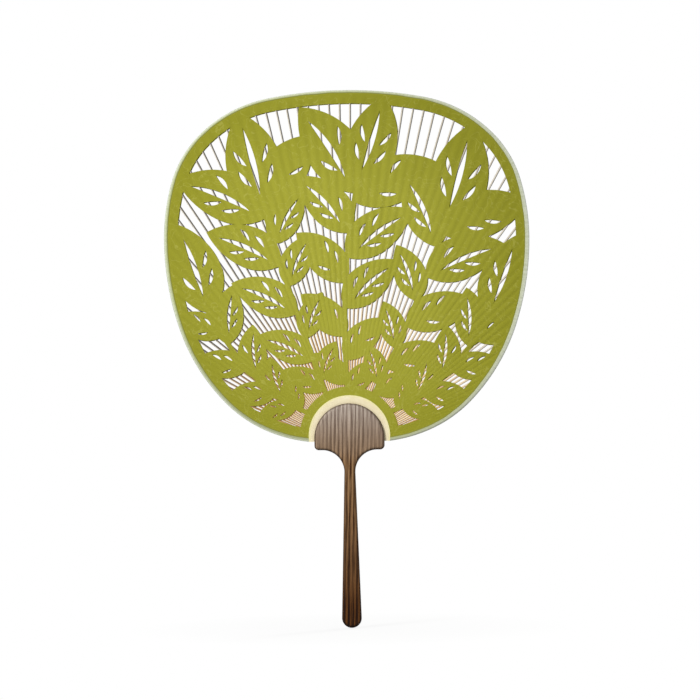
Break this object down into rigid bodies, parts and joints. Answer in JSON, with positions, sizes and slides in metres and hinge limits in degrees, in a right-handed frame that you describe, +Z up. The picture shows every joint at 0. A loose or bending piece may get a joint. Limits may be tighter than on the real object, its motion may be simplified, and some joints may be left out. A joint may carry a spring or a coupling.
{
  "type": "round uchiwa fan",
  "caption": "Rigid round hand fan: a see-through leaf of cut green paper on fine bamboo ribs, edged at the rim, with a cream neck arc and a dark wooden handle.",
  "frame": {"origin": "middle of the grip, 60 mm up from the end of the handle, in the middle of the leaf's thickness", "axes": "+Z up the fan from the handle to the top of the rim, +X to the right seen from the front, +Y from the front face to the back"},
  "size_m": [0.245, 0.007, 0.3605],
  "materials": {
    "handle_wood": "dark straight-grained wood, oiled and brushed",
    "green_paper": "matte dyed paper with cut openings",
    "edging_paper": "thin pale paper strip, folded and pasted",
    "collar_paper": "matte cream paper",
    "bamboo": "split bamboo, bare"
  },
  "bodies": {
    "root": {"handle": "handle_wood", "front_paper": "green_paper", "back_paper": "green_paper", "rim_edging": "edging_paper", "front_collar": "collar_paper", "back_collar": "collar_paper", "rib_pair_01": "bamboo", "rib_pair_02": "bamboo", "rib_pair_03": "bamboo", "rib_pair_04": "bamboo", "rib_pair_05": "bamboo", "rib_pair_06": "bamboo", "rib_pair_07": "bamboo", "rib_pair_08": "bamboo", "rib_pair_09": "bamboo", "rib_pair_10": "bamboo", "rib_pair_11": "bamboo", "rib_pair_12": "bamboo", "rib_pair_13": "bamboo", "rib_pair_14": "bamboo", "rib_pair_15": "bamboo", "rib_pair_16": "bamboo", "rib_pair_17": "bamboo", "rib_pair_18": "bamboo", "rib_pair_19": "bamboo", "rib_pair_20": "bamboo", "rib_pair_21": "bamboo", "rib_pair_22": "bamboo", "rib_pair_23": "bamboo", "rib_pair_24": "bamboo", "rib_pair_25": "bamboo", "rib_pair_26": "bamboo", "rib_pair_27": "bamboo", "rib_pair_28": "bamboo", "rib_pair_29": "bamboo", "rib_pair_30": "bamboo", "rib_pair_31": "bamboo", "rib_pair_32": "bamboo", "rib_pair_33": "bamboo", "rib_pair_34": "bamboo", "rib_pair_35": "bamboo", "rib_pair_36": "bamboo", "rib_pair_37": "bamboo", "rib_pair_38": "bamboo", "rib_pair_39": "bamboo", "rib_pair_40": "bamboo", "rib_pair_41": "bamboo", "rib_pair_42": "bamboo"}
  },
  "joints": []
}
